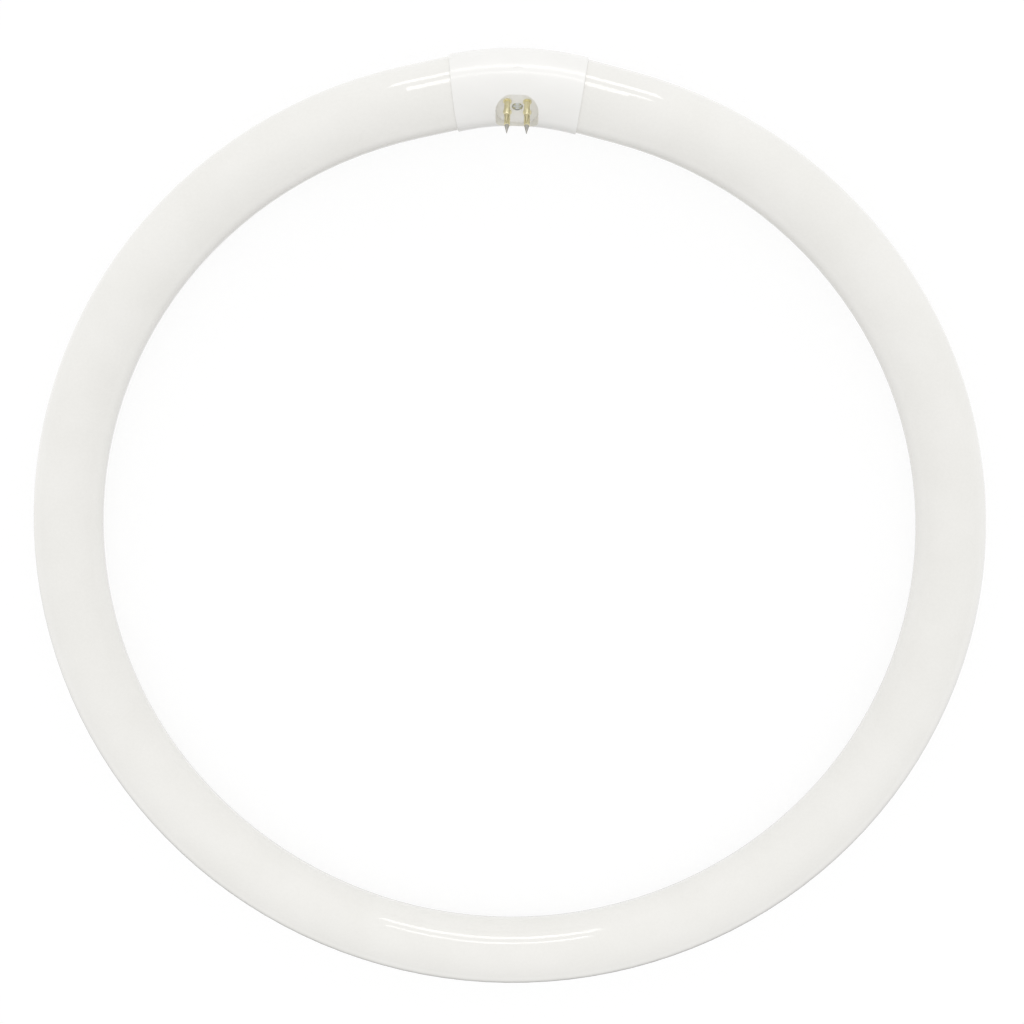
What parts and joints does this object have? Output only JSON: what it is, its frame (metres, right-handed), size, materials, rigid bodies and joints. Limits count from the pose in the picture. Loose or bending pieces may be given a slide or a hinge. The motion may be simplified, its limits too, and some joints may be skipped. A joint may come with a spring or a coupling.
{
  "type": "circular fluorescent tube",
  "caption": "Ring-shaped white fluorescent tube joined by a short moulded cap with a recessed group of brass contact pins.",
  "frame": {"origin": "centre of the ring, in the plane of the tube's middle", "axes": "+Z out of the ring's plane on the side that the pins lean to; +Y from the centre to the cap; the pins lean 51 degrees from +Z towards the centre"},
  "size_m": [0.406, 0.4086, 0.0309],
  "materials": {
    "coated_glass": "clear gloss over an opaque white inner coating",
    "cap_plastic": "satin moulded, warm white",
    "pin_brass": "bright drawn brass",
    "solder": "dull tin",
    "rivet_steel": "bright zinc plate",
    "wire_nickel": "nickel-plated wire"
  },
  "bodies": {
    "root": {"glass_tube": "coated_glass", "cap_pin_half": "cap_plastic", "cap_back_half": "cap_plastic", "clamp_rivet": "rivet_steel", "contact_pin_1": "pin_brass", "contact_pin_2": "pin_brass", "contact_pin_3": "pin_brass", "contact_pin_4": "pin_brass", "solder_tip_1": "solder", "solder_tip_2": "solder", "solder_tip_3": "solder", "solder_tip_4": "solder", "lead_wire_1": "wire_nickel", "lead_wire_2": "wire_nickel", "lead_wire_3": "wire_nickel", "lead_wire_4": "wire_nickel"}
  },
  "joints": []
}
